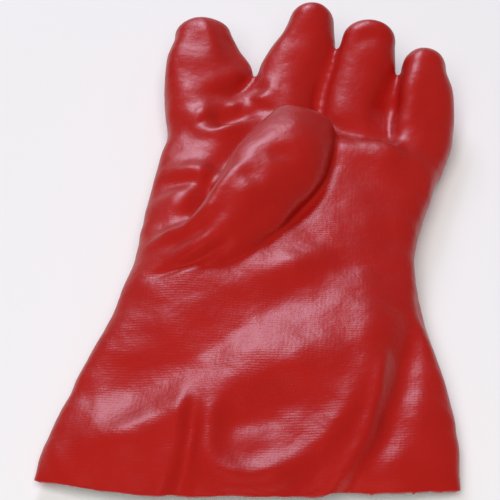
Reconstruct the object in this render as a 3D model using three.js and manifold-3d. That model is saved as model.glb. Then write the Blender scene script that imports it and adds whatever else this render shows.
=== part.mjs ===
// Oil-resistant work glove for the left hand: a gauntlet of knitted cotton dipped in red PVC, lying on its back
// with the palm up, the fingers lifting a little and the thumb folded across the palm.
//
// The real glove is one piece, so it is one solid here: a wall of even thickness, hollow from the mouth of the
// cuff to the five tips. Hand and cuff are lofted through cross-sections, each digit through sections along its
// own centre line. The outer skins are joined, the same skins taken in by the wall are joined, and the second
// is cut from the first.
//
// Millimetres. +Y runs from the cuff to the fingers, +X to the little finger, +Z up. The back rests on z = 0.
import * as THREE from "three";
import { mergeVertices } from "three/addons/utils/BufferGeometryUtils.js";
import Module from "manifold-3d";

const WALL = 1.5; // coating and knitted lining together
const SIDE_WALL = 3; // where the fabric turns over at each side of hand and cuff
const LENGTH_CENTRE = 133.9; // from the cuff's rim to the middle of the plan, which becomes the origin

// Sections of cuff and hand. left and right are the outline, floor the height of the back of the hand, side
// that of the turned edge and crown that of the palm. tilt turns the section from straight across (y per x).
const HAND = [
  { y: 0, left: -81.6, right: 81.6, floor: 0, side: 4.5, crown: 12, tilt: 0.05 },
  { y: 10, left: -80.6, right: 81.2, floor: 0, side: 6, crown: 16.5, tilt: 0.05 },
  { y: 26, left: -77.8, right: 80.2, floor: 0, side: 7.5, crown: 20.5, tilt: 0.05 },
  { y: 48, left: -72.4, right: 76.4, floor: 0, side: 9, crown: 23.5, tilt: 0.04 },
  { y: 72, left: -65.2, right: 70.2, floor: 0, side: 10.5, crown: 24.5, tilt: 0.02 },
  { y: 98, left: -59.6, right: 64.6, floor: 0, side: 12, crown: 25, tilt: 0 },
  { y: 125, left: -58, right: 62.4, floor: 0, side: 12, crown: 25, tilt: -0.04 },
  { y: 150, left: -57.2, right: 65, floor: 0, side: 12, crown: 25, tilt: -0.09 },
  { y: 175, left: -55.4, right: 70.2, floor: 0, side: 12, crown: 25, tilt: -0.15 },
  { y: 194, left: -55.2, right: 74, floor: 0.3, side: 12, crown: 25, tilt: -0.2 },
  { y: 203, left: -54.4, right: 74.4, floor: 1, side: 12, crown: 23, tilt: -0.22 },
  { y: 209, left: -52.5, right: 73, floor: 3, side: 11, crown: 18.5, tilt: -0.23 },
  { y: 212, left: -50, right: 70, floor: 5.5, side: 9, crown: 13, tilt: -0.23 },
];
const FLAT_BACK = 1.35; // how much of the back is pressed flat where it rests
const EDGE_ROUND = 0.9; // 1 makes the sections elliptic, less makes them fuller

// The rim: how far from straight across it is cut, from one side to the other. The palm side hangs forward over
// the back, by as much as it is higher.
const RIM = [
  { x: -82, y: 1.5 },
  { x: -40, y: -1 },
  { x: 2, y: 1.8 },
  { x: 42, y: 6.6 },
  { x: 84, y: 11.4 },
];
const RIM_LEAN = { overhang: 0.8, fades: 44 };

// Folds and dents of the palm side, as smooth ridges (+) and valleys (-) along a line from one end to the other.
const FOLDS = [
  { name: "bed under the thumb", x0: -26, y0: 116, x1: 8, y1: 176, width: 24, rise: -6 },
  { name: "dent beside the thumb's root", x0: -36, y0: 131, x1: -30, y1: 139, width: 8, rise: -4 },
  { name: "long valley right of the cuff", x0: 60, y0: 86, x1: 36, y1: 8, width: 8, rise: -4.5 },
  { name: "ridge left of that valley", x0: 52, y0: 66, x1: 20, y1: 4, width: 8, rise: 2 },
  { name: "short valley left of the cuff", x0: -19, y0: 42, x1: -22, y1: 0, width: 6, rise: -3 },
  { name: "ridge left of the short valley", x0: -28, y0: 34, x1: -30, y1: 0, width: 7, rise: 1.8 },
  { name: "crease below the ring finger", x0: 26, y0: 197, x1: 48, y1: 190, width: 5, rise: -2.5 },
];

// Digits. Each row is a section square to the centre line: its centre, half its width and half its thickness.
// crest moves the ridge of the upper side, to the little finger's side if above 0. tip is the rounded end.
const DIGITS = [
  {
    name: "index",
    tip: 11.5,
    rows: [
      { x: -33, y: 176, z: 11.5, w: 13, h: 7.5, crest: 0 },
      { x: -35, y: 196, z: 12, w: 19.5, h: 10.5, crest: -0.1 },
      { x: -38, y: 217, z: 14, w: 20.6, h: 10.5, crest: -0.3 },
      { x: -39, y: 234, z: 16.5, w: 21.4, h: 10, crest: -0.35 },
      { x: -42, y: 246, z: 18.8, w: 18.6, h: 9.5, crest: -0.3 },
      { x: -44.6, y: 258.5, z: 21, w: 14.6, h: 9, crest: -0.15 },
    ],
  },
  {
    name: "middle",
    tip: 11.5,
    rows: [
      { x: 1, y: 176, z: 11.5, w: 13, h: 7.5, crest: 0 },
      { x: 2, y: 196, z: 12, w: 16.5, h: 10.5, crest: 0.1 },
      { x: 3, y: 217, z: 14, w: 18.6, h: 10.5, crest: 0.2 },
      { x: 3.4, y: 234, z: 17, w: 18.9, h: 10.5, crest: 0.2 },
      { x: 5, y: 246, z: 20, w: 17, h: 10.5, crest: 0.15 },
      { x: 7.4, y: 256, z: 23, w: 14, h: 10.5, crest: 0.05 },
      { x: 8.8, y: 266.5, z: 27, w: 11.6, h: 10.5, crest: 0 },
    ],
  },
  {
    name: "ring",
    tip: 11.5,
    rows: [
      { x: 35, y: 174, z: 11.5, w: 11, h: 7.5, crest: 0 },
      { x: 36.5, y: 194, z: 12, w: 14, h: 10.5, crest: 0 },
      { x: 37.5, y: 213, z: 14, w: 14.2, h: 10.5, crest: 0 },
      { x: 37.9, y: 230, z: 17.5, w: 14.4, h: 10.5, crest: 0 },
      { x: 38, y: 244, z: 22, w: 14.5, h: 10.5, crest: 0 },
      { x: 38, y: 255.5, z: 26.3, w: 13.8, h: 10.5, crest: 0 },
    ],
  },
  {
    name: "little",
    tip: 12,
    rows: [
      { x: 60, y: 166, z: 11.5, w: 10, h: 7.5, crest: 0 },
      { x: 64, y: 186, z: 12, w: 12.6, h: 10.5, crest: -0.1 },
      { x: 66, y: 205, z: 13.5, w: 13.2, h: 10.5, crest: -0.1 },
      { x: 66.4, y: 219, z: 16.5, w: 13.2, h: 10.5, crest: -0.1 },
      { x: 65.4, y: 231, z: 19.5, w: 12.6, h: 10.5, crest: 0 },
      { x: 63.8, y: 240, z: 22, w: 11.8, h: 10, crest: 0 },
    ],
  },
  {
    name: "thumb",
    tip: 13.5,
    rows: [
      { x: -47, y: 106, z: 9.5, w: 8, h: 4.5, crest: 0 },
      { x: -41, y: 112, z: 14.5, w: 14.5, h: 7.5, crest: 0 },
      { x: -31, y: 120.5, z: 21, w: 17, h: 9, crest: 0 },
      { x: -21, y: 129, z: 26, w: 19, h: 10, crest: 0 },
      { x: -10, y: 139.5, z: 30, w: 21, h: 10.5, crest: 0 },
      { x: -1.7, y: 152, z: 31, w: 21.3, h: 10.5, crest: 0 },
      { x: 4, y: 163, z: 31.5, w: 19.6, h: 10.5, crest: 0 },
      { x: 7, y: 173, z: 31.5, w: 17.2, h: 10.5, crest: 0 },
      { x: 8.4, y: 181, z: 31, w: 14.8, h: 10, crest: 0 },
    ],
  },
];

const HAND_STATIONS = 28;
const HAND_SIDES = 40;
const DIGIT_STATIONS = 10;
const DIGIT_SIDES = 18;
const TIP_RINGS = 4;

const { lerp, clamp, smoothstep } = THREE.MathUtils;

// The value of a table's column at a place between its rows, on a smooth curve through them. place counts rows.
function columnAt(rows, column, place) {
  const i = clamp(Math.floor(place), 0, rows.length - 2);
  const t = place - i;
  const value = (k) => rows[clamp(k, 0, rows.length - 1)][column];
  const startSlope = (value(i + 1) - value(i - 1)) / 2;
  const endSlope = (value(i + 2) - value(i)) / 2;
  const rise = value(i + 1) - value(i);
  return (
    value(i) + t * (startSlope + t * (3 * rise - 2 * startSlope - endSlope + t * (startSlope + endSlope - 2 * rise)))
  );
}

// How much a fold lifts the palm at a point: full along its line, fading to nothing across its width.
function foldHeight(fold, x, y) {
  const dx = fold.x1 - fold.x0;
  const dy = fold.y1 - fold.y0;
  const along = clamp(((x - fold.x0) * dx + (y - fold.y0) * dy) / (dx * dx + dy * dy), 0, 1);
  const away = Math.hypot(x - fold.x0 - along * dx, y - fold.y0 - along * dy);
  return fold.rise * Math.exp(-((away / fold.width) ** 2));
}

// One cross-section of cuff and hand, taken in by inset and moved towards the wearer by out.
function handRing(place, inset, out = 0) {
  const at = (column) => columnAt(HAND, column, place);
  const sideInset = (inset / WALL) * SIDE_WALL;
  const left = at("left") + sideInset;
  const right = at("right") - sideInset;
  const side = at("side");
  const floor = Math.max(0, at("floor"));
  const rim = 1 - smoothstep(at("y"), 0, RIM_LEAN.fades);
  const ring = [];
  for (let i = 0; i < HAND_SIDES; i += 1) {
    const turn = (2 * Math.PI * i) / HAND_SIDES;
    const up = Math.sin(turn);
    const fullness = Math.abs(up) ** EDGE_ROUND;
    const x = (left + right) / 2 + ((right - left) / 2) * Math.cos(turn);
    const height =
      up > 0
        ? side + (at("crown") - inset - side) * fullness
        : Math.max(floor + inset, side - ((side - floor) * FLAT_BACK - inset) * fullness);
    const rimPlace = ((x - RIM[0].x) / (RIM.at(-1).x - RIM[0].x)) * (RIM.length - 1);
    const rimCut = columnAt(RIM, "y", rimPlace) - RIM_LEAN.overhang * height;
    const y = at("y") + lerp(at("tilt") * x, rimCut, rim) - out;
    const folds = FOLDS.reduce((sum, fold) => sum + foldHeight(fold, x, y), 0);
    ring.push(new THREE.Vector3(x, y, height + folds * smoothstep(up, 0.1, 0.7)));
  }
  return ring;
}

// The sections of cuff and hand. The inner skin stops short of the end between the fingers, and at the cuff it
// runs out past the rim, so that it cuts the mouth open.
function handRings(inset) {
  const last = HAND.length - 1;
  const rings = inset > 0 ? [handRing(0, inset, 20)] : [];
  for (let i = 0; i < HAND_STATIONS; i += 1) rings.push(handRing((last * i) / HAND_STATIONS, inset));
  rings.push(handRing(last, inset, inset));
  return rings;
}

// The sections of a digit along its centre line, taken in by inset, with a rounded tip.
function digitRings({ rows, tip }, inset) {
  const line = new THREE.CatmullRomCurve3(rows.map(({ x, y, z }) => new THREE.Vector3(x, y, z)));
  const last = rows.length - 1;
  const section = (share, past, scale) => {
    const at = (column) => columnAt(rows, column, share * last);
    const tangent = line.getTangent(share);
    const across = new THREE.Vector3().crossVectors(tangent, new THREE.Vector3(0, 0, 1)).normalize();
    const up = new THREE.Vector3().crossVectors(across, tangent);
    const centre = line.getPoint(share).addScaledVector(tangent, past);
    return Array.from({ length: DIGIT_SIDES }, (_, i) => {
      const turn = (2 * Math.PI * i) / DIGIT_SIDES;
      const crest = 1 + (Math.sin(turn) > 0 ? at("crest") * Math.cos(turn) : 0);
      return centre
        .clone()
        .addScaledVector(across, (at("w") - inset) * scale * Math.cos(turn))
        .addScaledVector(up, (at("h") - inset) * scale * crest * Math.sin(turn));
    });
  };
  const rings = [];
  for (let i = 0; i <= DIGIT_STATIONS; i += 1) rings.push(section(i / DIGIT_STATIONS, 0, 1));
  for (let i = 1; i <= TIP_RINGS; i += 1) {
    const bend = (Math.PI / 2) * (i / (TIP_RINGS + 0.6));
    rings.push(section(1, (tip - inset) * Math.sin(bend), Math.cos(bend)));
  }
  return rings;
}

// A closed skin through the rings, with a fan over each end.
function skin(rings) {
  const sides = rings[0].length;
  const points = rings.flat();
  const faces = [];
  for (let r = 0; r + 1 < rings.length; r += 1) {
    for (let i = 0; i < sides; i += 1) {
      const a = r * sides + i;
      const b = r * sides + ((i + 1) % sides);
      faces.push(a, a + sides, b, b, a + sides, b + sides);
    }
  }
  for (const [ring, start] of [[rings[0], 0], [rings.at(-1), (rings.length - 1) * sides]]) {
    const middle = points.length;
    points.push(ring.reduce((sum, p) => sum.add(p), new THREE.Vector3()).divideScalar(sides));
    for (let i = 0; i < sides; i += 1) {
      const a = start + i;
      const b = start + ((i + 1) % sides);
      faces.push(middle, ...(start ? [b, a] : [a, b]));
    }
  }
  const geometry = new THREE.BufferGeometry().setFromPoints(points);
  geometry.setIndex(faces);
  return geometry;
}

const wasm = await Module();
wasm.setup();

function solidFrom(geometry) {
  const merged = mergeVertices(geometry);
  return new wasm.Manifold(
    new wasm.Mesh({
      numProp: 3,
      vertProperties: merged.getAttribute("position").array,
      triVerts: new Uint32Array(merged.index.array),
    }),
  );
}

function geometryFrom(solid) {
  const { vertProperties, triVerts } = solid.getMesh();
  const geometry = new THREE.BufferGeometry();
  geometry.setAttribute("position", new THREE.BufferAttribute(vertProperties, 3));
  geometry.setIndex(new THREE.BufferAttribute(triVerts, 1));
  geometry.computeVertexNormals();
  return geometry;
}

// Hand, cuff and digits as one solid, taken in by inset all over.
function gloveForm(inset) {
  const hand = solidFrom(skin(handRings(inset)));
  return DIGITS.reduce((form, digit) => form.add(solidFrom(skin(digitRings(digit, inset)))), hand);
}

const redPvc = new THREE.MeshStandardMaterial({ color: 0xad2320, roughness: 0.38, metalness: 0 });

const shell = new THREE.Mesh(geometryFrom(gloveForm(0).subtract(gloveForm(WALL))), redPvc);
shell.name = "glove_shell";
shell.position.y = -LENGTH_CENTRE;

const glove = new THREE.Group();
glove.add(shell);

export default glove;
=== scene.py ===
"""Oil-resistant work glove: a gauntlet of knitted cotton dipped in red PVC, for the left hand.

It lies on its back with the palm up and the thumb folded across it. The shell is modelled as one skin:
lofted hand and digits are joined by a voxel remesh, their roots are smoothed together, folds and dents are
pressed in, the cuff is cut open and the skin gets its thickness. Lengths in the tables are millimetres, in
the glove's own plan: x to the little finger, y from the cuff's rim to the fingers, z up from the surface
that it lies on.
"""

import math
from collections import namedtuple

import bmesh
import bpy
import numpy as np
from bpy.props import FloatProperty, FloatVectorProperty, IntProperty, PointerProperty
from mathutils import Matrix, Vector, noise
from mathutils.bvhtree import BVHTree


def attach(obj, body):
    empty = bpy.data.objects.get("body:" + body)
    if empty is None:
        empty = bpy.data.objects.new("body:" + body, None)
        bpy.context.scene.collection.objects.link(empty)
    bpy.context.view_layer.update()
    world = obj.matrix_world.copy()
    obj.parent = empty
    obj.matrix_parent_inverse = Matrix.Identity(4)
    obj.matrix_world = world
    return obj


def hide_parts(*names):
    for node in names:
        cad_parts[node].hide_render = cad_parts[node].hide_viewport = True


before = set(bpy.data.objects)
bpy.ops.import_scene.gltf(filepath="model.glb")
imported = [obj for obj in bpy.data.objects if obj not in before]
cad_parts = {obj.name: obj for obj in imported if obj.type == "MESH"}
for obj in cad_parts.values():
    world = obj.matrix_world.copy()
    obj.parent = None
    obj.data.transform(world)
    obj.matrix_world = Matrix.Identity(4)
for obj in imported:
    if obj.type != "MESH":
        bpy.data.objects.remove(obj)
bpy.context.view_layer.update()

bl_info = {
    "name": "Oil-resistant Glove",
    "version": (1, 0, 0),
    "blender": (4, 5, 0),
    "location": "View3D > Sidebar > Glove",
    "description": "Builds a PVC-dipped gauntlet glove and a plain studio around it",
    "category": "Object",
}

MM = 0.001
LENGTH_CENTRE = 133.9  # from the rim of the cuff to the middle of the plan, which is the frame's origin

# The finish, as real sizes. A wave texture of scale 1 repeats every 2 pi / 20 of its length.
WAVE_UNIT = 2 * math.pi / 20
KNIT_COURSE = 1.3 * MM
KNIT_WALE = 1.7 * MM
COURSE_DEPTH = 0.028 * MM
WALE_DEPTH = 0.01 * MM
PRINT_PATCH = 14 * MM  # size of the patches where the print is strong or weak
PRINT_NOISE = 0.35, 0.65  # the noise between which it goes from its least to full strength
PRINT_LEAST = 0.3
DIGIT_PRINT = 0.1  # how much of the print shows on thumb and fingers
THUMB_PRINT_FADES = 26 * MM, 30 * MM  # height above the floor
FINGER_PRINT_FADES = 40 * MM, 60 * MM  # towards the fingers, from the frame's origin
FILM_PATCH = 40 * MM  # size of the patches of thick and thin film
FILM_RIPPLE = 7 * MM
FILM_DEPTH = 0.4 * MM
LOOP_DEPTH = 0.35 * MM
FUZZ_SIZE = 0.6 * MM
FUZZ_DEPTH = 0.1 * MM
PVC_IOR = 1.53
COTTON_ROUGHNESS = 0.95
COTTON_SHEEN = 0.3
PAPER_ROUGHNESS = 0.8


def linear(colour):
    """Turns an sRGB hex colour into linear red, green and blue, with the numbers of the sRGB standard."""
    channels = [int(colour[i : i + 2], 16) / 255 for i in (0, 2, 4)]
    return tuple(c / 12.92 if c <= 0.04045 else ((c + 0.055) / 1.055) ** 2.4 for c in channels)


# Form of the hand and cuff. left and right are the outline, floor is the height of the back of the hand,
# side that of the turned edge and crown that of the palm. tilt turns the section from straight across, in y
# per x.
HandSection = namedtuple("HandSection", "y left right floor side crown tilt")
HAND = (
    HandSection(0, -81.6, 81.6, 0, 4.5, 12, 0.05),
    HandSection(10, -80.6, 81.2, 0, 6, 16.5, 0.05),
    HandSection(26, -77.8, 80.2, 0, 7.5, 20.5, 0.05),
    HandSection(48, -72.4, 76.4, 0, 9, 23.5, 0.04),
    HandSection(72, -65.2, 70.2, 0, 10.5, 24.5, 0.02),
    HandSection(98, -59.6, 64.6, 0, 12, 25, 0),
    HandSection(125, -58, 62.4, 0, 12, 25, -0.04),
    HandSection(150, -57.2, 65, 0, 12, 25, -0.09),
    HandSection(175, -55.4, 70.2, 0, 12, 25.2, -0.15),
    HandSection(186, -55.2, 72.5, 0, 12, 24.5, -0.18),
    HandSection(195, -55, 74, 0.3, 12, 21.5, -0.2),
    HandSection(203, -54.4, 74.4, 1, 12, 18.5, -0.22),
    HandSection(209, -52.5, 73, 3, 11, 15.5, -0.23),
    HandSection(212, -50, 70, 5.5, 9, 12, -0.23),
)
FLAT_BACK = 1.35  # 1 rests on a line down the middle of the back, more presses a wider strip flat
EDGE_ROUND = 0.75  # 1 makes the sections elliptic, less makes them fuller

# The rim of the cuff: how far from straight across it is cut, at points evenly spaced from side to side.
# The palm side hangs forward over the back, more where it is higher.
RimPoint = namedtuple("RimPoint", "x y")
RIM = (RimPoint(-82, 1.5), RimPoint(-40.5, -1), RimPoint(1, 1.8), RimPoint(42.5, 6.6), RimPoint(84, 11.4))
RIM_OVERHANG = 0.8  # y per z
RIM_FADES = 44  # from here on towards the hand the sections no longer follow the rim
RIM_SPARE = 12  # the loft runs on past the rim by this much, until the mouth is cut

# Digits, and the two swellings between them and the hand. Each row is a section square to the centre line:
# its centre, half its width and half its thickness. crest moves the ridge of the upper side, to the little
# finger's side if above 0.
DigitSection = namedtuple("DigitSection", "x y z width height crest")
DIGITS = {
    "index": (
        DigitSection(-33, 176, 10.5, 13, 6.5, 0),
        DigitSection(-34.5, 196, 11, 20.3, 9.8, -0.1),
        DigitSection(-37.4, 217, 13.5, 21.6, 10.5, -0.3),
        DigitSection(-39, 234, 16.5, 21.4, 10, -0.35),
        DigitSection(-42, 246, 18.8, 18.6, 9.5, -0.3),
        DigitSection(-44.6, 258.5, 21, 14.6, 9, -0.15),
    ),
    "middle": (
        DigitSection(-1, 176, 10.5, 13, 6.5, 0),
        DigitSection(-1, 196, 11, 15.5, 9.8, 0.1),
        DigitSection(-0.3, 217, 14, 16.2, 10.5, 0),
        DigitSection(1.4, 234, 17, 17.4, 10.5, -0.1),
        DigitSection(5, 246, 20, 17, 10.5, -0.1),
        DigitSection(7.4, 256, 23, 14, 10.5, -0.1),
        DigitSection(8.8, 266.5, 27, 11.6, 10.5, 0),
    ),
    "ring": (
        DigitSection(33, 172, 9.5, 12, 6, 0),
        DigitSection(32.3, 192, 10, 17.8, 9, 0),
        DigitSection(32.4, 211, 12.5, 17.6, 10.2, -0.1),
        DigitSection(34.4, 230, 17, 17.4, 10.5, -0.1),
        DigitSection(36.2, 244, 21.8, 14.9, 10.5, 0),
        DigitSection(37.4, 255.5, 26.3, 13.4, 10.5, 0),
    ),
    "little": (
        DigitSection(58.5, 166, 9.5, 8, 5, 0),
        DigitSection(62.6, 184, 10, 13.2, 8.6, -0.1),
        DigitSection(64.6, 205, 12.5, 15.3, 10.2, -0.2),
        DigitSection(65, 219, 16.2, 15, 10.5, -0.2),
        DigitSection(65.2, 231, 19.5, 13.5, 10.5, -0.1),
        DigitSection(64.8, 240, 22, 11, 10, 0),
    ),
    "web of index and middle": (
        DigitSection(-17, 192, 10, 6, 6, 0),
        DigitSection(-17, 206, 12, 8, 8, 0),
        DigitSection(-17.3, 219, 12.5, 7, 7, 0),
        DigitSection(-17, 229, 13, 5, 6, 0),
    ),
    "ball of the thumb": (
        DigitSection(-53, 101, 11, 9, 5, 0),
        DigitSection(-46, 106.5, 13, 13, 8.5, 0),
        DigitSection(-38, 111.5, 15, 14, 11.5, 0),
        DigitSection(-30, 116.5, 17, 12.5, 13, 0),
    ),
    "thumb": (
        DigitSection(-47, 95, 12, 9, 5, 0),
        DigitSection(-38, 99.5, 15, 11, 8, 0),
        DigitSection(-28.7, 107.2, 18.5, 13, 12, 0),
        DigitSection(-21.2, 116.2, 21, 15.3, 14.8, 0),
        DigitSection(-15.3, 124.5, 22, 17, 16.6, -0.1),
        DigitSection(-9.8, 133.4, 22.5, 18.2, 17.8, -0.1),
        DigitSection(-5, 144.6, 22.5, 19.6, 18.4, -0.05),
        DigitSection(-0.4, 156, 22.5, 20.5, 18.8, 0),
        DigitSection(3.4, 167, 22.5, 20, 18.8, 0.05),
        DigitSection(6.2, 177, 22.5, 18.4, 18, 0.05),
        DigitSection(8.7, 187.5, 22.5, 15.8, 14.8, 0),
    ),
}
TIP_LENGTH = {
    "index": 11.5, "middle": 11.5, "ring": 11.5, "little": 12, "thumb": 11,
    "web of index and middle": 4, "ball of the thumb": 9,
}
TIP_SQUARE = 0.8  # 1 makes the tips elliptic, less makes them blunter
PRESSED = {"thumb": 0.25}  # the underside of a digit that lies on something, as a share of its upper half
EDGE_DROP = {"thumb": 0.38}  # the share of its height that a digit loses on the little finger's side
FLANK_CURVE = 1.6  # how late on the way from the crest to that edge the height is lost
FULL_TOP = 0.39  # top of a digit with such a drop: 1 is elliptic, less is flatter with a steeper edge
EDGE_SINE = 1e-6  # no higher on its section than this, a point is on the edge and keeps its height
CENTRE_STEP = 0.05  # to each side along the centre line, in rows, for its direction

# Corners that are smoothed out, within reach of both skins. The thumb's own fade out at THUMB_ROOT_X.
Root = namedtuple("Root", "digit base reach")
ROOTS = (
    Root("index", "hand", 7), Root("middle", "hand", 7), Root("ring", "hand", 7), Root("little", "hand", 7),
    Root("ring", "middle", 2.5), Root("little", "ring", 2.5),
    Root("index", "web of index and middle", 5), Root("middle", "web of index and middle", 5),
    Root("thumb", "hand", 9), Root("ball of the thumb", "hand", 10), Root("thumb", "ball of the thumb", 7),
)
THUMB_ROOT_X = -40
THUMB_ROOT_FADES = 8
THUMB_WEB = (-16.5, 125.5), (-0.6, 156)  # left of this line the thumb's side runs smoothly into the hand
THUMB_WEB_REACH = 2, 9  # from both skins
THUMB_WEB_FADES = 3, 12  # to the left of the line

# Smoothing of the skin: each point moves a share of the way to the mean of its neighbours, so many times.
Smoothing = namedtuple("Smoothing", "share rounds")
REMESH_SMOOTHING = Smoothing(0.5, 4)
ROOT_EDGE_SMOOTHING = Smoothing(0.5, 6)
ROOT_SMOOTHING = Smoothing(0.6, 60)
NORMAL_SMOOTHING = Smoothing(0.5, 8)
FOLD_SMOOTHING = Smoothing(0.5, 3)

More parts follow.
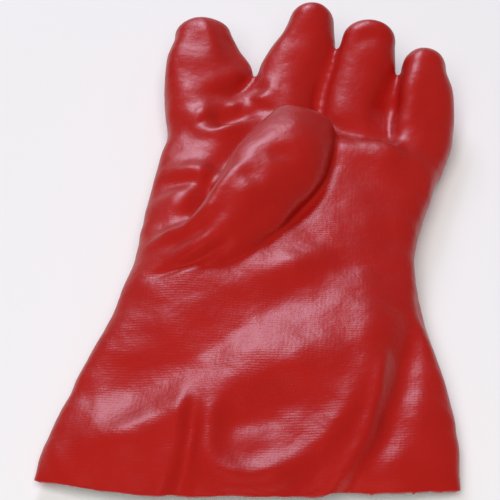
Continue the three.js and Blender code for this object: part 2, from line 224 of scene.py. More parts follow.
# Folds and dents of the coating. Each follows a smooth line through its points: plan x and y, width to each
# side, and rise, which lifts the skin if above 0 and sinks it if below. on names the skin that it works on.
Fold = namedtuple("Fold", "name on path")
FoldPoint = namedtuple("FoldPoint", "x y width rise")
FOLD_REACH = 2.6  # widths from its line, where a fold has died away
FOLD_THUMB = -0.5, 2.5  # from hand to thumb, by how much nearer to the thumb's skin a point is
FOLD_FACING = -0.1, 0.45  # the folds are on the upper side, and fade out as it turns down
FOLDS = (
    # Cuff
    Fold("valley down the right side", "hand", (
        (68, 110, 5, -0.8), (65.5, 98, 6, -2.4), (63.5, 84, 6.8, -3.2), (61, 66, 7, -3.6),
        (57.5, 46, 7, -3.6), (53.5, 27, 7, -3.6), (46.5, 10, 7, -3.4), (38, -6, 6.5, -3),
    )),
    Fold("shoulder beside the valley", "hand", (
        (45, 88, 8, 0.4), (44, 77, 10, 1.5), (43, 66, 10, 1.7), (41, 56, 8, 0.7),
    )),
    Fold("thin ridge left of that valley", "hand", (
        (51, 60, 3.2, 0.5), (49.5, 48, 3.2, 2), (47.5, 35, 3.2, 2.5), (44.5, 21, 3.2, 2.5),
        (40, 10, 3.2, 2.4), (35, 1, 3.3, 2.2), (28, -9, 3.5, 1.8),
    )),
    Fold("hollow left of the ridge", "hand", (
        (40, 54, 7, -1), (38, 36, 7, -1.6), (31, 22, 7, -1.4), (22, 4, 7, -1),
    )),
    Fold("diagonal trough across the wrist", "hand", (
        (40, 110, 8, -0.8), (28, 103, 10, -2), (14, 91, 11.5, -2.4), (-1, 75, 12, -2.2),
        (-17, 60, 11, -1.3), (-32, 46, 9, -0.6),
    )),
    Fold("fall left of the trough", "hand", (
        (-62, 45, 14, -1.4), (-47, 46, 15, -2.4), (-31, 52, 14, -2.1), (-16, 65, 11, -0.8),
    )),
    Fold("swelling below the trough", "hand", (
        (44, 68, 14, 1.4), (34, 56, 16, 2.6), (19, 50, 15, 2.8), (4, 46, 12, 1.8), (-12, 38, 8, 1),
    )),
    Fold("hollow of the cuff", "hand", (
        (-6, 19, 8, -2.4), (5, 25, 9, -3.2), (16, 34, 9, -2.6), (25, 43, 7, -1),
    )),
    Fold("curved ridge round the hollow", "hand", (
        (-12, 31, 4, 0.5), (-15.5, 20, 5, 1.8), (-16, 10, 5.5, 2.6), (-12, 1.5, 6, 3.2),
        (-3, -3, 6, 3.6), (8, -1, 6, 3.6), (20, 6, 6, 3.4), (30, 19, 6, 3.6), (38.5, 36, 6, 3),
        (43, 52, 6, 1.6), (44, 62, 6, 0.3),
    )),
    Fold("short valley at the rim", "hand", (
        (-23, 34, 3, -0.4), (-23, 24, 3.4, -2), (-23, 10, 3.8, -2.6), (-24, 0, 4.2, -2.6),
        (-26, -10, 4.5, -2.2),
    )),
    Fold("sharp ridge beside it", "hand", (
        (-27, 30, 3, 0.3), (-27.5, 20, 3.2, 1), (-27.5, 6, 3.4, 1.2), (-31, -10, 4, 1.2),
    )),
    Fold("roll on the left of the cuff", "hand", (
        (-66, 6, 8, 0.5), (-56, 9, 9, 2.2), (-47, 11.5, 9, 2.8), (-39, 17, 8, 2.3), (-29, 24, 7, 1.8),
        (-19, 28, 6, 0.8),
    )),
    Fold("hollow above the roll", "hand", (
        (-62, 30, 9, -1.2), (-50, 34, 11, -2.4), (-38, 40, 10, -2), (-28, 44, 8, -1),
    )),
    Fold("curl of the left corner", "hand", ((-76, 10, 4, 0.5), (-72, 0, 4, 1.2), (-64, -6, 4, 1.2))),
    # Palm
    Fold("bed under the thumb", "hand", (
        (24, 176, 2.8, -0.8), (22.8, 164, 2.8, -1.6), (19, 149, 2.8, -2.2), (11, 134, 2.8, -2.8),
        (1, 121.5, 2.8, -3), (-8, 113, 2.8, -2.8), (-17, 106, 2.6, -2.2), (-26, 99.5, 2.6, -1.2),
    )),
    Fold("cushion below the thumb", "hand", (
        (-6, 90, 8, 0.4), (3, 95.5, 10, 2.4), (12, 100.5, 11, 3.6), (21, 107, 10, 2.4),
        (28, 114, 8, 0.6),
    )),
    Fold("slope below the thumb's root", "both", (
        (-58, 90, 13, 0.6), (-44, 93, 17, 2.4), (-31, 98, 17, 2.8), (-20, 105, 12, 0.8),
    )),
    Fold("edge of the little finger's side", "hand", (
        (60, 112, 5, 0.6), (63, 90, 5, 1.6), (66, 70, 5, 1),
    )),
    # Root of the thumb
    Fold("crease below the thumb", "both", (
        (-18, 106, 1.8, -0.8), (-26, 101, 1.8, -1.8), (-34, 97, 2, -2), (-42, 94, 2.2, -1.4),
        (-50, 91.5, 2.6, -0.4),
    )),
    Fold("dent above the root", "both", (
        (-30, 152, 4, -1), (-30.5, 146, 4, -3.6), (-31.5, 140, 4.2, -5), (-34, 134, 4, -3.8),
        (-37, 129.5, 4, -1),
    )),
    Fold("lip of the dent", "both", (
        (-50, 114, 4, 0.4), (-44, 115.5, 4, 1.6), (-36.5, 115.5, 4, 2), (-30, 119.5, 4, 1.6),
        (-26, 124, 3.5, 0.4),
    )),
    Fold("hollow below the lip", "both", (
        (-44, 108.5, 4, -0.6), (-37, 108.5, 4, -1.5), (-29, 111.5, 4, -1.5), (-22, 117, 4, -0.5),
    )),
    Fold("second lip", "both", (
        (-40, 100.5, 4, 0.3), (-34, 102.5, 4.4, 1.1), (-27, 106.5, 4.4, 1.4), (-20, 112.5, 4, 0.5),
    )),
    Fold("roll beside the dent", "hand", (
        (-52, 127, 8, 0.5), (-47, 134, 8.5, 1.8), (-42, 141, 8.5, 2.6), (-38, 147, 7, 1.6),
        (-36, 151, 5, 0.3),
    )),
    Fold("hollow above that roll", "hand", (
        (-55, 148, 6, -0.4), (-48, 151, 6, -1.6), (-41, 152.5, 6, -1.8), (-34, 153.5, 5, -0.6),
    )),
    # Thumb
    Fold("ridge down the thumb's side", "both", (
        (-12, 151, 4, 0.4), (-18.5, 139.5, 4, 1.2), (-23.5, 131, 4, 1.6), (-25.5, 123, 4, 1.6),
        (-26, 117, 4, 0.4),
    )),
    Fold("dent of the thumb's pad", "thumb", (
        (-5, 152.5, 4.5, -0.4), (0, 153.5, 5, -1.6), (5, 155, 5, -1.4), (9, 157, 4.5, -0.3),
    )),
    Fold("small dent below the pad", "thumb", (
        (-14, 138, 4, -0.2), (-9.5, 140.5, 5, -0.7), (-4, 143, 4.4, -0.2),
    )),
    Fold("branch across the thumb", "thumb", (
        (-19, 131, 5, 0.3), (-13, 131.5, 5.6, 0.9), (-6, 132, 5.6, 0.7), (1, 132, 5, 0.2),
    )),
    # Between the thumb and the fingers
    Fold("bump below the hollow", "hand", (
        (-50, 160, 6, 0.8), (-42, 158.5, 6.5, 3.2), (-34, 158, 6.5, 3.6), (-29, 157, 5, 0.8),
    )),
    Fold("hollow beside the thumb", "hand", (
        (-28, 152, 5, -1), (-25.5, 160, 7, -3.2), (-22, 170, 8, -4.4), (-17, 180, 8, -4),
        (-9, 191, 6, -1.4),
    )),
    Fold("ridge over the hollow", "hand", (
        (-41, 193, 3.6, 0.8), (-36, 187.5, 3.8, 1.4), (-30, 186, 4, 1.8), (-24, 189.5, 4, 2.2),
        (-16, 196, 4, 1.6), (-10, 200, 3.4, 0.4),
    )),
    Fold("dark hollow under the index", "hand", (
        (-36, 196, 4, -0.8), (-30, 196.5, 5, -3), (-23, 200, 5, -2.6), (-16, 206, 4, -0.8),
    )),
    Fold("knob at the index finger's root", "hand", (
        (-42.5, 199, 5.5, 1.8), (-38, 198.5, 6, 3), (-34.5, 196, 4.5, 1.2),
    )),
    Fold("crinkle above", "hand", (
        (-27, 206, 2.6, 0.4), (-24.5, 208.5, 2.6, 1.4), (-22, 212, 2.6, 0.6),
    )),
    Fold("crease across the index finger", "hand", (
        (-16, 236, 3, -0.8), (-20, 227, 3.4, -2.4), (-25, 220, 3.8, -2.6), (-31, 216, 4, -1.8),
        (-40, 213, 4.4, -0.5),
    )),
    Fold("swelling above the crease", "hand", (
        (-21, 240, 5, 0.6), (-25, 230, 5, 1.2), (-33, 223, 6, 0.8),
    )),
    Fold("knob at the middle finger's root", "hand", (
        (-14, 210, 4, 1), (-11.5, 213, 4.8, 2.4), (-8, 217, 4, 0.8),
    )),
    # Fingers
    Fold("ridge of the index finger", "hand", (
        (-44, 262, 4, 0.8), (-42, 254, 5, 1.8), (-38, 242, 6, 1.6), (-35.5, 228, 7, 0.6),
    )),
    Fold("hollow of the ring finger's tip", "hand", (
        (30, 244, 4, -0.5), (36, 249, 5, -1.8), (44, 250, 4, -0.8),
    )),
    Fold("bulge on the left of the index finger", "hand", (
        (-58, 246, 5, 0.4), (-58, 236, 6, 1.2), (-56, 222, 6, 0.5),
    )),
    Fold("flat of the middle finger", "hand", (
        (16, 244, 5, -1.2), (14, 232, 6, -1.4), (12, 212, 6, -0.8),
    )),
    Fold("crease below the ring finger", "hand", (
        (19, 203, 4, -0.8), (27, 197, 5.5, -2.2), (37, 193, 5.5, -2.4), (47, 194, 5, -1.6),
        (54, 198, 4, -0.5),
    )),
    Fold("roll below that crease", "hand", (
        (21, 177, 8, 0.4), (31, 178.5, 10, 2.3), (40, 179, 12, 3.8), (49, 179, 12, 4.6),
        (58, 179.5, 9, 1.6),
    )),
    Fold("hollow on the right of the ring finger", "hand", (
        (48, 232, 5, -1), (46, 216, 6, -2.6), (43, 204, 5, -1.4),
    )),
    Fold("crease between middle and ring finger", "hand", (
        (21.5, 247, 2.4, -0.2), (20, 240, 2.6, -0.8), (17.2, 226, 2.7, -1), (15.4, 211, 2.7, -1),
        (14.6, 198, 2.6, -0.3),
    )),
    Fold("crease between ring and little finger", "hand", (
        (53.5, 240, 2.4, -0.2), (51.8, 231, 2.6, -0.9), (50.3, 219, 2.7, -1.2), (49.6, 205, 2.7, -1.2),
        (49.6, 193, 2.6, -0.4),
    )),
    Fold("crest of the little finger", "hand", (
        (62, 240, 5, 0.6), (60, 226, 5, 1.2), (58, 206, 5, 1.2), (55, 190, 5, 0.8),
    )),
)

# Unevenness of the hand-dipped coating, and of its rim: size across, and height each way
Unevenness = namedtuple("Unevenness", "size height")
UNEVEN = (Unevenness(24, 0.8), Unevenness(11, 0.55), Unevenness(5, 0.1))
UNEVEN_FADES = 1, 8  # height above the floor, which presses the back flat
RAGGED_RIM = (Unevenness(17, 0.9), Unevenness(6, 0.35))

# Soft lamps, aimed at the glove: place and size in metres, power in watts. The one behind it on the left
# draws the sheen. The large one in front is the general light, and shows in no gloss.
Lamp = namedtuple("Lamp", "name place size power colour gloss")
LAMPS = (
    Lamp("sheen", (-0.42, 1.36, 0.98), 0.6, 11.8, "EDE6FF", True),
    Lamp("front", (-0.1, -1.2, 2.0), 1.8, 52, "FFFFFF", False),
)
ROOM_LIGHT = 0.11
FLOOR_SIZE = 6
SENSOR_WIDTH = 36
CLIP_START = 10 * MM

# Fineness of the lofted skins and of the lines that the folds follow
HAND_STATIONS = 110
HAND_SIDES = 150
DIGIT_STATIONS = 50
DIGIT_SIDES = 64
TIP_RINGS = 12
FOLD_STEPS = 40


def column_at(rows, column, places):
    """The values of a table's column at places between its rows, on a smooth curve through them."""
    values = np.array([getattr(row, column) for row in rows], float)
    last = len(rows) - 1
    i = np.clip(np.floor(places).astype(int), 0, last - 1)
    t = places - i
    before, here, there, after = (values[np.clip(i + k, 0, last)] for k in (-1, 0, 1, 2))
    start, end, rise = (there - before) / 2, (after - here) / 2, there - here
    return here + t * (start + t * (3 * rise - 2 * start - end + t * (start + end - 2 * rise)))


def smoothstep(values, low, high):
    """0 below low, 1 above high and a smooth ramp between them."""
    t = np.clip((values - low) / (high - low), 0, 1)
    return t * t * (3 - 2 * t)


def rim_cut(x):
    """How far from straight across the rim is cut at x."""
    return column_at(RIM, "y", (x - RIM[0].x) / (RIM[-1].x - RIM[0].x) * (len(RIM) - 1))


def hand_ring(place, out=0.0):
    """One cross-section of hand and cuff, at a place counted in rows, moved towards the wearer by out."""
    at = {name: column_at(HAND, name, np.array([place]))[0] for name in HandSection._fields}
    turn = np.linspace(0, 2 * math.pi, HAND_SIDES, endpoint=False)
    up = np.sin(turn)
    fullness = np.abs(up) ** EDGE_ROUND
    x = (at["left"] + at["right"]) / 2 + (at["right"] - at["left"]) / 2 * np.cos(turn)
    floor = max(0.0, at["floor"])
    palm = at["side"] + (at["crown"] - at["side"]) * fullness
    back = np.maximum(floor, at["side"] - (at["side"] - floor) * FLAT_BACK * fullness)
    z = np.where(up > 0, palm, back)
    rim = 1 - smoothstep(at["y"], 0, RIM_FADES)
    y = at["y"] + at["tilt"] * x * (1 - rim) + (rim_cut(x) - RIM_OVERHANG * z) * rim - out
    return np.stack([x, y, z], 1)


def hand_rings():
    """The sections of hand and cuff, from past the rim to the end between the fingers."""
    places = np.linspace(0, len(HAND) - 1, HAND_STATIONS)
    return [hand_ring(0.0, RIM_SPARE)] + [hand_ring(place) for place in places]


def digit_rings(rows, tip, pressed, drop):
    """The sections of a digit along its centre line, with a rounded tip."""
    last = len(rows) - 1
    places = np.linspace(0, last, DIGIT_STATIONS)
    turn = np.linspace(0, 2 * math.pi, DIGIT_SIDES, endpoint=False)

    def section(place, past, scale):
        centre, behind, ahead = (
            np.array([column_at(rows, axis, np.array([p]))[0] for axis in "xyz"])
            for p in (place, max(place - CENTRE_STEP, 0), min(place + CENTRE_STEP, last))
        )
        tangent = (ahead - behind) / np.linalg.norm(ahead - behind)
        across = np.cross(tangent, (0, 0, 1))
        across /= np.linalg.norm(across)
        up = np.cross(across, tangent)
        width, height, crest = (
            column_at(rows, name, np.array([place]))[0] for name in ("width", "height", "crest")
        )
        lift = np.where(np.sin(turn) > 0, 1 + crest * np.cos(turn), pressed)
        if drop:
            top = np.sin(turn) > EDGE_SINE
            fall = 1 - drop * np.clip(np.cos(turn[top]), 0, 1) ** FLANK_CURVE
            lift[top] *= fall * np.sin(turn[top]) ** (FULL_TOP - 1)
        sideways = (width * scale * np.cos(turn))[:, None] * across
        upwards = (height * scale * lift * np.sin(turn))[:, None] * up
        return centre + tangent * past + sideways + upwards

    rings = [section(place, 0, 1) for place in places]
    # The last ring stops half a step short of the tip, so that it doesn't shrink to a point
    for i in range(1, TIP_RINGS + 1):
        bend = math.pi / 2 * i / (TIP_RINGS + 0.5)
        rings.append(section(last, tip * math.sin(bend), math.cos(bend) ** TIP_SQUARE))
    return rings


def skin(rings):
    """A closed skin through the rings, as points and faces, with a fan over each end."""
    sides = len(rings[0])
    points = np.concatenate(rings + [rings[0].mean(0)[None], rings[-1].mean(0)[None]])
    start_fan, end_fan = len(points) - 2, len(points) - 1
    faces = []
    for r in range(len(rings) - 1):
        for i in range(sides):
            a, b = r * sides + i, r * sides + (i + 1) % sides
            faces.append((a, a + sides, b + sides, b))
    end = (len(rings) - 1) * sides
    for i in range(sides):
        following = (i + 1) % sides
        faces.append((start_fan, i, following))
        faces.append((end_fan, end + following, end + i))
    return points, faces


def new_mesh(name, points, faces):
    mesh = bpy.data.meshes.new(name)
    mesh.from_pydata([tuple(p) for p in points], [], faces)
    mesh.validate()
    mesh.update()
    return mesh


def with_modifier(mesh, kind, **settings):
    """The mesh with one modifier applied to it, in place of the mesh as it was."""
    holder = bpy.data.objects.new("holder", mesh)
    bpy.context.scene.collection.objects.link(holder)
    modifier = holder.modifiers.new(kind.lower(), kind)
    for name, value in settings.items():
        setattr(modifier, name, value)
    graph = bpy.context.evaluated_depsgraph_get()
    result = bpy.data.meshes.new_from_object(holder.evaluated_get(graph))
    bpy.data.objects.remove(holder)
    bpy.data.meshes.remove(mesh)
    return result


def points_of(mesh):
    points = np.empty(len(mesh.vertices) * 3, np.float32)
    mesh.vertices.foreach_get("co", points)
    return points.reshape(-1, 3).astype(float)


def set_points(mesh, points):
    mesh.vertices.foreach_set("co", points.astype(np.float32).ravel())
    mesh.update()


def normals_of(mesh):
    normals = np.empty(len(mesh.vertices) * 3, np.float32)
    mesh.vertices.foreach_get("normal", normals)
    return normals.reshape(-1, 3).astype(float)


def edges_of(mesh):
    edges = np.empty(len(mesh.edges) * 2, np.int32)
    mesh.edges.foreach_get("vertices", edges)
    return edges.reshape(-1, 2)


def smoothed(values, edges, smoothing, where=1.0):
    """Values of the vertices, smoothed over their neighbours, by as much as where says for each."""
    count = len(values)
    a, b = edges[:, 0], edges[:, 1]
    degree = np.bincount(a, minlength=count) + np.bincount(b, minlength=count)
    share = np.full(count, smoothing.share * where)[:, None]
    for _ in range(smoothing.rounds):
        mean = np.empty_like(values)
        for axis in range(values.shape[1]):
            column = values[:, axis]
            total = np.bincount(a, column[b], count) + np.bincount(b, column[a], count)
            mean[:, axis] = total / degree
        values = values + (mean - values) * share
    return values


def distance_to(skin_points, skin_faces, points):
    """How far each point is from a skin."""
    tree = BVHTree.FromPolygons([tuple(p) for p in skin_points], skin_faces)
    return np.array([tree.find_nearest(p)[3] for p in points])


def fold_height(fold, points):
    """How far a fold lifts the skin at each point, in plan."""
    path = [FoldPoint(*p) for p in fold.path]
    places = np.linspace(0, len(path) - 1, FOLD_STEPS)
    x, y, width, rise = (column_at(path, name, places) for name in FoldPoint._fields)
    line = np.stack([x, y], 1)
    start, step = line[:-1], np.diff(line, axis=0)
    reach = FOLD_REACH * width.max()
    inside = np.all((points[:, :2] > line.min(0) - reach) & (points[:, :2] < line.max(0) + reach), 1)
    # How far along and away from each step of the line, and which step is nearest
    offset = points[inside, None, :2] - start
    along = np.clip((offset * step).sum(2) / (step * step).sum(1), 0, 1)
    away = np.linalg.norm(offset - along[..., None] * step, axis=2)
    nearest = away.argmin(1)
    rows = np.arange(len(nearest))
    place = nearest + along[rows, nearest]
    steps = np.arange(FOLD_STEPS)
    heights = np.zeros(len(points))
    bell = np.exp(-((away[rows, nearest] / np.interp(place, steps, width)) ** 2))
    heights[inside] = np.interp(place, steps, rise) * bell
    return heights


def uneven(layers, points):
    """Smooth random unevenness at each point."""
    heights = np.zeros(len(points))
    for layer in layers:
        heights += [layer.height * noise.noise(Vector(p) / layer.size) for p in points]
    return heights


def glove_skins():
    """The closed skins of the hand and of each digit, before they are joined."""
    skins = {"hand": skin(hand_rings())}
    for name, rows in DIGITS.items():
        pressed, drop = PRESSED.get(name, 1), EDGE_DROP.get(name, 0)
        skins[name] = skin(digit_rings(rows, TIP_LENGTH[name], pressed, drop))
    return skins


def joined_mesh(skins, step):
    """One closed mesh round all the skins, with faces of about the given size."""
    points, faces = [], []
    for part_points, part_faces in skins.values():
        faces += [tuple(i + len(points) for i in face) for face in part_faces]
        points += list(part_points)
    mesh = new_mesh("glove_form", points, faces)
    return with_modifier(mesh, "REMESH", mode="VOXEL", voxel_size=step, adaptivity=0.0)


def root_share(points, edges, distance):
    """How much of the root smoothing each point gets, from its distance to each skin."""
    share = np.zeros(len(points))
    for root in ROOTS:
        corner = 1 - smoothstep(np.maximum(distance[root.digit], distance[root.base]), 0, root.reach)
        if root.digit == "thumb":
            start, end = THUMB_ROOT_X - THUMB_ROOT_FADES, THUMB_ROOT_X + THUMB_ROOT_FADES
            corner *= 1 - smoothstep(points[:, 0], start, end)
        share = np.maximum(share, corner)
    web = 1 - smoothstep(np.maximum(distance["thumb"], distance["hand"]), *THUMB_WEB_REACH)
    start, end = np.array(THUMB_WEB)
    along = (end - start) / np.linalg.norm(end - start)
    aside = (points[:, :2] - start) @ (-along[1], along[0])
    share = np.maximum(share, web * smoothstep(aside, *THUMB_WEB_FADES))
    return np.clip(smoothed(share[:, None], edges, ROOT_EDGE_SMOOTHING)[:, 0], 0, 1)


def folds_lift(points, normals, distance):
    """How far all the folds together lift the skin at each point."""
    on_thumb = smoothstep(distance["hand"] - distance["thumb"], *FOLD_THUMB)
    share = {"thumb": on_thumb, "hand": 1 - on_thumb, "both": 1.0}
    facing_up = smoothstep(normals[:, 2], *FOLD_FACING)
    lift = np.zeros(len(points))
    for fold in FOLDS:
        lift += fold_height(fold, points) * share[fold.on] * facing_up
    return lift


def glove_form(shape):
    """The glove as one closed skin in plan millimetres, with smooth roots and its folds pressed in."""
    skins = glove_skins()
    mesh = joined_mesh(skins, shape.skin_step / MM)
    points, edges = points_of(mesh), edges_of(mesh)
    distance = {name: distance_to(*part, points) for name, part in skins.items()}
    points = smoothed(points, edges, REMESH_SMOOTHING)
    points = smoothed(points, edges, ROOT_SMOOTHING, root_share(points, edges, distance))
    set_points(mesh, points)
    normals = smoothed(normals_of(mesh), edges, NORMAL_SMOOTHING)
    normals /= np.linalg.norm(normals, axis=1)[:, None]
    lift = folds_lift(points, normals, distance) * shape.fold_depth
    lift += uneven(UNEVEN, points) * smoothstep(points[:, 2], *UNEVEN_FADES)
    points = smoothed(points + normals * lift[:, None], edges, FOLD_SMOOTHING)
    points[:, 2] = np.maximum(points[:, 2], 0)
    set_points(mesh, points)
    return mesh


def rim_shift(points):
    """How far the rim is from straight across: it is cut at a slant, leans and is a little ragged."""
    across = np.stack([points[:, 0], np.zeros(len(points)), points[:, 2]], 1)
    return rim_cut(points[:, 0]) - RIM_OVERHANG * points[:, 2] + uneven(RAGGED_RIM, across)


def open_mouth(mesh):
    """Cuts the cuff open: the skin is sheared so that its rim is straight, cut there and sheared back."""
    points = points_of(mesh)
    points[:, 1] -= rim_shift(points)
    set_points(mesh, points)
    cut = bmesh.new()
    cut.from_mesh(mesh)
    everything = cut.verts[:] + cut.edges[:] + cut.faces[:]
    bmesh.ops.bisect_plane(
        cut, geom=everything, plane_co=(0, 0, 0), plane_no=(0, -1, 0), clear_outer=True,
    )
    cut.to_mesh(mesh)
    cut.free()
    points = points_of(mesh)
    points[:, 1] += rim_shift(points)
    set_points(mesh, points)


def add_node(tree, kind, links=None, **settings):
    """Adds a shader node, sets its properties and inputs, and links inputs to other nodes' outputs."""
    node = tree.nodes.new(kind)
    for name, value in settings.items():
        if hasattr(node, name):
            setattr(node, name, value)
    inputs = {socket.name: socket for socket in node.inputs if socket.enabled}
    for name, value in settings.items():
        if not hasattr(node, name):
            inputs[name.replace("_", " ")].default_value = value
    for name, source in (links or {}).items():
        tree.links.new(source, inputs[name] if name in inputs else node.inputs[name])
    return node


def empty_material(name):
    material = bpy.data.materials.new(name)
    material.use_nodes = True
    material.node_tree.nodes.clear()
    return material, material.node_tree


def dipped_pvc(finish):
    """Soft PVC plastisol, dipped over the knit and cured.

    The film is satin and a little uneven, and the courses of the knit below it print through. Both break up
    its sheen, and the red is a shade deeper where the film is thicker.
    """
    material, tree = empty_material("dipped_pvc")
    place = add_node(tree, "ShaderNodeTexCoord").outputs["Object"]
    thickness = add_node(
        tree, "ShaderNodeTexNoise", {"Vector": place}, Scale=1 / FILM_PATCH, Detail=3.0, Roughness=0.6,
    )
    red = add_node(
        tree, "ShaderNodeMix", {"Factor": thickness.outputs["Fac"]}, data_type="RGBA",
        A=(*finish.thin_coat_colour, 1), B=(*finish.coat_colour, 1),
    )
    film = add_node(
        tree, "ShaderNodeTexNoise", {"Vector": place}, Scale=1 / FILM_RIPPLE, Detail=4.0, Roughness=0.55,
    )
    courses = add_node(
        tree, "ShaderNodeTexWave", {"Vector": place}, bands_direction="Y", wave_profile="SIN",
        Scale=WAVE_UNIT / KNIT_COURSE, Distortion=2.2, Detail=2.0, Detail_Scale=0.35,
    )
    wales = add_node(
        tree, "ShaderNodeTexWave", {"Vector": place}, bands_direction="X", wave_profile="SIN",
        Scale=WAVE_UNIT / KNIT_WALE, Distortion=2.0, Detail=1.0, Detail_Scale=0.5,
    )
    axes = add_node(tree, "ShaderNodeSeparateXYZ", {"Vector": place})
    off_thumb = add_node(
        tree, "ShaderNodeMapRange", {"Value": axes.outputs["Z"]}, From_Min=THUMB_PRINT_FADES[0],
        From_Max=THUMB_PRINT_FADES[1], To_Min=1.0, To_Max=DIGIT_PRINT,
    )
    off_fingers = add_node(
        tree, "ShaderNodeMapRange", {"Value": axes.outputs["Y"]}, From_Min=FINGER_PRINT_FADES[0],
        From_Max=FINGER_PRINT_FADES[1], To_Min=1.0, To_Max=DIGIT_PRINT,
    )
    patches = add_node(tree, "ShaderNodeTexNoise", {"Vector": place}, Scale=1 / PRINT_PATCH, Detail=2.0)
    patchy = add_node(
        tree, "ShaderNodeMapRange", {"Value": patches.outputs["Fac"]}, From_Min=PRINT_NOISE[0],
        From_Max=PRINT_NOISE[1], To_Min=PRINT_LEAST,
    )
    on_palm = add_node(
        tree, "ShaderNodeMath", {0: off_thumb.outputs[0], 1: off_fingers.outputs[0]},
        operation="MULTIPLY",
    )
    print_share = add_node(
        tree, "ShaderNodeMath", {0: on_palm.outputs[0], 1: patchy.outputs[0]}, operation="MULTIPLY",
    )
    film_bump = add_node(tree, "ShaderNodeBump", {"Height": film.outputs["Fac"]}, Distance=FILM_DEPTH)
    course_bump = add_node(
        tree, "ShaderNodeBump",
        {
            "Height": courses.outputs["Fac"], "Normal": film_bump.outputs[0],
            "Strength": print_share.outputs[0],
        },
        Distance=COURSE_DEPTH,
    )
    wale_bump = add_node(
        tree, "ShaderNodeBump",
        {
            "Height": wales.outputs["Fac"], "Normal": course_bump.outputs[0],
            "Strength": print_share.outputs[0],
        },
        Distance=WALE_DEPTH,
    )
    surface = add_node(
        tree, "ShaderNodeBsdfPrincipled", {"Base Color": red.outputs[2], "Normal": wale_bump.outputs[0]},
        Roughness=finish.coat_roughness, IOR=PVC_IOR,
    )
    add_node(tree, "ShaderNodeOutputMaterial", {"Surface": surface.outputs[0]})
    return material


def knitted_cotton(finish):
    """Unbleached cotton interlock, bonded to the inside of the coating: dull, with soft ribs of loops and
    painted shade in the hollows between them.
    """
    material, tree = empty_material("knitted_cotton")
    place = add_node(tree, "ShaderNodeTexCoord").outputs["Object"]
    wales = add_node(
        tree, "ShaderNodeTexWave", {"Vector": place}, bands_direction="X", wave_profile="SIN",
        Scale=WAVE_UNIT / KNIT_WALE, Distortion=1.2, Detail=1.0,
    )
    courses = add_node(
        tree, "ShaderNodeTexWave", {"Vector": place}, bands_direction="Y", wave_profile="SIN",
        Scale=WAVE_UNIT / KNIT_COURSE, Distortion=1.2, Detail=1.0,
    )
    fuzz = add_node(tree, "ShaderNodeTexNoise", {"Vector": place}, Scale=1 / FUZZ_SIZE, Detail=4.0)
    loops = add_node(
        tree, "ShaderNodeMath", {0: wales.outputs["Fac"], 1: courses.outputs["Fac"]}, operation="MULTIPLY",
    )
    # Painted shade: the cotton is drawn darker between its loops, standing for the shade in the hollows of
    # the knit
    shade = add_node(
        tree, "ShaderNodeMix", {"Factor": loops.outputs[0]}, data_type="RGBA",
        A=(*finish.lining_shadow, 1), B=(*finish.lining_colour, 1),
    )
    loop_bump = add_node(tree, "ShaderNodeBump", {"Height": loops.outputs[0]}, Distance=LOOP_DEPTH)
    fuzz_bump = add_node(
        tree, "ShaderNodeBump", {"Height": fuzz.outputs["Fac"], "Normal": loop_bump.outputs[0]},
        Distance=FUZZ_DEPTH,
    )
    surface = add_node(
        tree, "ShaderNodeBsdfPrincipled", {"Base Color": shade.outputs[2], "Normal": fuzz_bump.outputs[0]},
        Roughness=COTTON_ROUGHNESS, Sheen_Weight=COTTON_SHEEN, Sheen_Roughness=0.5,
    )
    add_node(tree, "ShaderNodeOutputMaterial", {"Surface": surface.outputs[0]})
    return material


class GloveShape(bpy.types.PropertyGroup):
    wall: FloatProperty(
        name="Wall", description="Thickness of coating and lining together",
        default=1.5 * MM, min=0.5 * MM, max=3 * MM, subtype="DISTANCE", unit="LENGTH",
    )
    skin_step: FloatProperty(
        name="Skin step", description="Size of the skin's faces",
        default=1.1 * MM, min=1 * MM, max=5 * MM, subtype="DISTANCE", unit="LENGTH",
    )
    outer_faces: IntProperty(
        name="Faces", description="Most triangles that the outside of the skin may have",
        default=92000, min=10000, max=200000,
    )
    fold_depth: FloatProperty(
        name="Fold depth", description="How deep the folds and dents are, 1 as in the table",
        default=1.0, min=0.0, max=1.5, subtype="FACTOR",
    )


class GloveFinish(bpy.types.PropertyGroup):
    coat_colour: FloatVectorProperty(
        name="Coating", description="Colour of the PVC coating where it is thick",
        default=linear("A30F0A"), min=0, max=1, subtype="COLOR",
    )
    thin_coat_colour: FloatVectorProperty(
        name="Thin coating", description="Colour of the PVC coating where it is thin",
        default=linear("B61B12"), min=0, max=1, subtype="COLOR",
    )
    lining_colour: FloatVectorProperty(
        name="Lining", description="Colour of the cotton on the inside",
        default=linear("DDD6C7"), min=0, max=1, subtype="COLOR",
    )
    # Painted shade between the cotton's loops, standing for the shade in the hollows of the knit
    lining_shadow: FloatVectorProperty(
        name="Lining between loops", description="Colour of the cotton between its loops",
        default=linear("AFA695"), min=0, max=1, subtype="COLOR",
    )
    coat_roughness: FloatProperty(
        name="Roughness", description="Roughness of the PVC coating",
        default=0.38, min=0.05, max=1, subtype="FACTOR",
    )


class StudioStage(bpy.types.PropertyGroup):
    elevation: FloatProperty(
        name="Camera elevation", description="Camera's height above the horizon",
        default=math.radians(45), subtype="ANGLE", unit="ROTATION",
    )
    azimuth: FloatProperty(
        name="Camera azimuth", description="Turn of the camera about the vertical",
        default=math.radians(5), subtype="ANGLE", unit="ROTATION",
    )
    distance: FloatProperty(
        name="Camera distance", description="From the camera to the point it looks at",
        default=650 * MM, min=0.1, subtype="DISTANCE", unit="LENGTH",
    )
    lens: FloatProperty(
        name="Lens", description="Focal length for a 36 mm sensor",
        default=107.1, min=20, unit="CAMERA",
    )
    aim: FloatVectorProperty(
        name="Aim", description="The point in the middle of the picture",
        default=(-9.4 * MM, -10.14 * MM, 10 * MM), subtype="XYZ", unit="LENGTH",
    )
    floor_colour: FloatVectorProperty(
        name="Floor", description="Colour of the floor",
        default=linear("F4F3F1"), min=0, max=1, subtype="COLOR",
    )


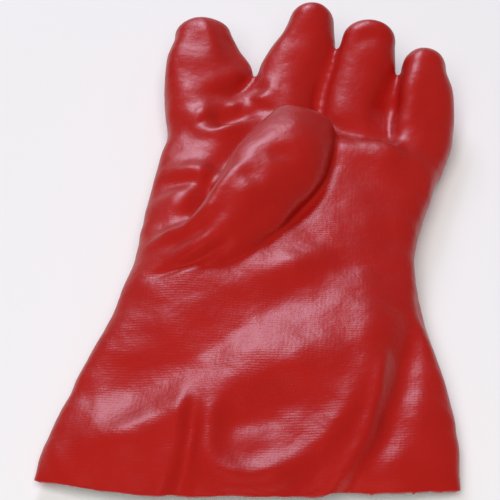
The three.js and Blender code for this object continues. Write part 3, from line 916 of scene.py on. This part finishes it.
class GLOVE_OT_shell(bpy.types.Operator):
    """Builds the glove's shell, the coating and its lining in one piece"""

    bl_idname = "glove.shell"
    bl_label = "Glove Shell"
    bl_options = {"REGISTER", "UNDO"}

    def execute(self, context):
        shape, finish = context.scene.glove_shape, context.scene.glove_finish
        mesh = glove_form(shape)
        open_mouth(mesh)
        mesh = with_modifier(mesh, "TRIANGULATE")
        if len(mesh.polygons) > shape.outer_faces:
            mesh = with_modifier(mesh, "DECIMATE", ratio=shape.outer_faces / len(mesh.polygons))
        set_points(mesh, (points_of(mesh) - (0, LENGTH_CENTRE, 0)) * MM)
        # Both materials come before the wall, whose inner faces then take the second
        mesh.materials.append(dipped_pvc(finish))
        mesh.materials.append(knitted_cotton(finish))
        mesh = with_modifier(
            mesh, "SOLIDIFY", thickness=shape.wall, offset=-1.0, use_rim=True, material_offset=1,
        )
        mesh.name = "glove_shell_skin"
        mesh.polygons.foreach_set("use_smooth", [True] * len(mesh.polygons))
        glove = bpy.data.objects.new("dipped_glove", mesh)
        context.scene.collection.objects.link(glove)
        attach(glove, "root")
        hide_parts("glove_shell")
        return {"FINISHED"}


class GLOVE_OT_stage(bpy.types.Operator):
    """Sets the pale floor, the soft lights and the camera"""

    bl_idname = "glove.stage"
    bl_label = "Studio Stage"
    bl_options = {"REGISTER", "UNDO"}

    def execute(self, context):
        stage = context.scene.glove_stage
        bpy.ops.mesh.primitive_plane_add(size=FLOOR_SIZE, location=(0, 0, 0))
        floor = context.active_object
        floor.name = "floor"
        # Plain uncoated paper: pale and matt, so that it shows soft shadows and no highlight
        material, tree = empty_material("pale_paper")
        surface = add_node(
            tree, "ShaderNodeBsdfPrincipled", Base_Color=(*stage.floor_colour, 1),
            Roughness=PAPER_ROUGHNESS,
        )
        add_node(tree, "ShaderNodeOutputMaterial", {"Surface": surface.outputs[0]})
        floor.data.materials.append(material)
        aim = Vector(stage.aim)
        flat = math.cos(stage.elevation)
        back = Vector((
            math.sin(stage.azimuth) * flat, -math.cos(stage.azimuth) * flat, math.sin(stage.elevation),
        ))
        camera_data = bpy.data.cameras.new("camera")
        camera_data.lens = stage.lens
        camera_data.sensor_width = SENSOR_WIDTH
        camera_data.clip_start = CLIP_START
        camera = bpy.data.objects.new("camera", camera_data)
        camera.location = aim + back * stage.distance
        camera.rotation_euler = (-back).to_track_quat("-Z", "Y").to_euler()
        context.scene.collection.objects.link(camera)
        context.scene.camera = camera
        for lamp in LAMPS:
            light_data = bpy.data.lights.new(lamp.name, "AREA")
            light_data.shape = "SQUARE"
            light_data.size = lamp.size
            light_data.energy = lamp.power
            light_data.color = linear(lamp.colour)
            light = bpy.data.objects.new(lamp.name, light_data)
            light.location = lamp.place
            light.visible_glossy = lamp.gloss
            light.rotation_euler = (-Vector(lamp.place)).to_track_quat("-Z", "Y").to_euler()
            context.scene.collection.objects.link(light)
        world = bpy.data.worlds.new("studio")
        world.use_nodes = True
        world.node_tree.nodes["Background"].inputs["Color"].default_value = (1, 1, 1, 1)
        world.node_tree.nodes["Background"].inputs["Strength"].default_value = ROOM_LIGHT
        context.scene.world = world
        context.scene.view_settings.view_transform = "Standard"
        return {"FINISHED"}


class GLOVE_PT_panel(bpy.types.Panel):
    """Lists the glove's sizes and colours, and the buttons that build it and its stage"""

    bl_idname = "GLOVE_PT_panel"
    bl_label = "Oil-resistant Glove"
    bl_space_type = "VIEW_3D"
    bl_region_type = "UI"
    bl_category = "Glove"

    def draw(self, context):
        for label, group, operator in (
            ("Shape", context.scene.glove_shape, None),
            ("Finish", context.scene.glove_finish, "glove.shell"),
            ("Stage", context.scene.glove_stage, "glove.stage"),
        ):
            box = self.layout.box()
            box.label(text=label)
            for name in group.bl_rna.properties.keys():
                if name not in ("rna_type", "name"):
                    box.prop(group, name)
            if operator:
                box.operator(operator)


CLASSES = (GloveShape, GloveFinish, StudioStage, GLOVE_OT_shell, GLOVE_OT_stage, GLOVE_PT_panel)


def register():
    for cls in CLASSES:
        bpy.utils.register_class(cls)
    bpy.types.Scene.glove_shape = PointerProperty(type=GloveShape)
    bpy.types.Scene.glove_finish = PointerProperty(type=GloveFinish)
    bpy.types.Scene.glove_stage = PointerProperty(type=StudioStage)


def unregister():
    del bpy.types.Scene.glove_shape
    del bpy.types.Scene.glove_finish
    del bpy.types.Scene.glove_stage
    for cls in reversed(CLASSES):
        bpy.utils.unregister_class(cls)


def main():
    register()
    bpy.ops.glove.stage()
    bpy.ops.glove.shell()


if __name__ == "__main__":
    main()
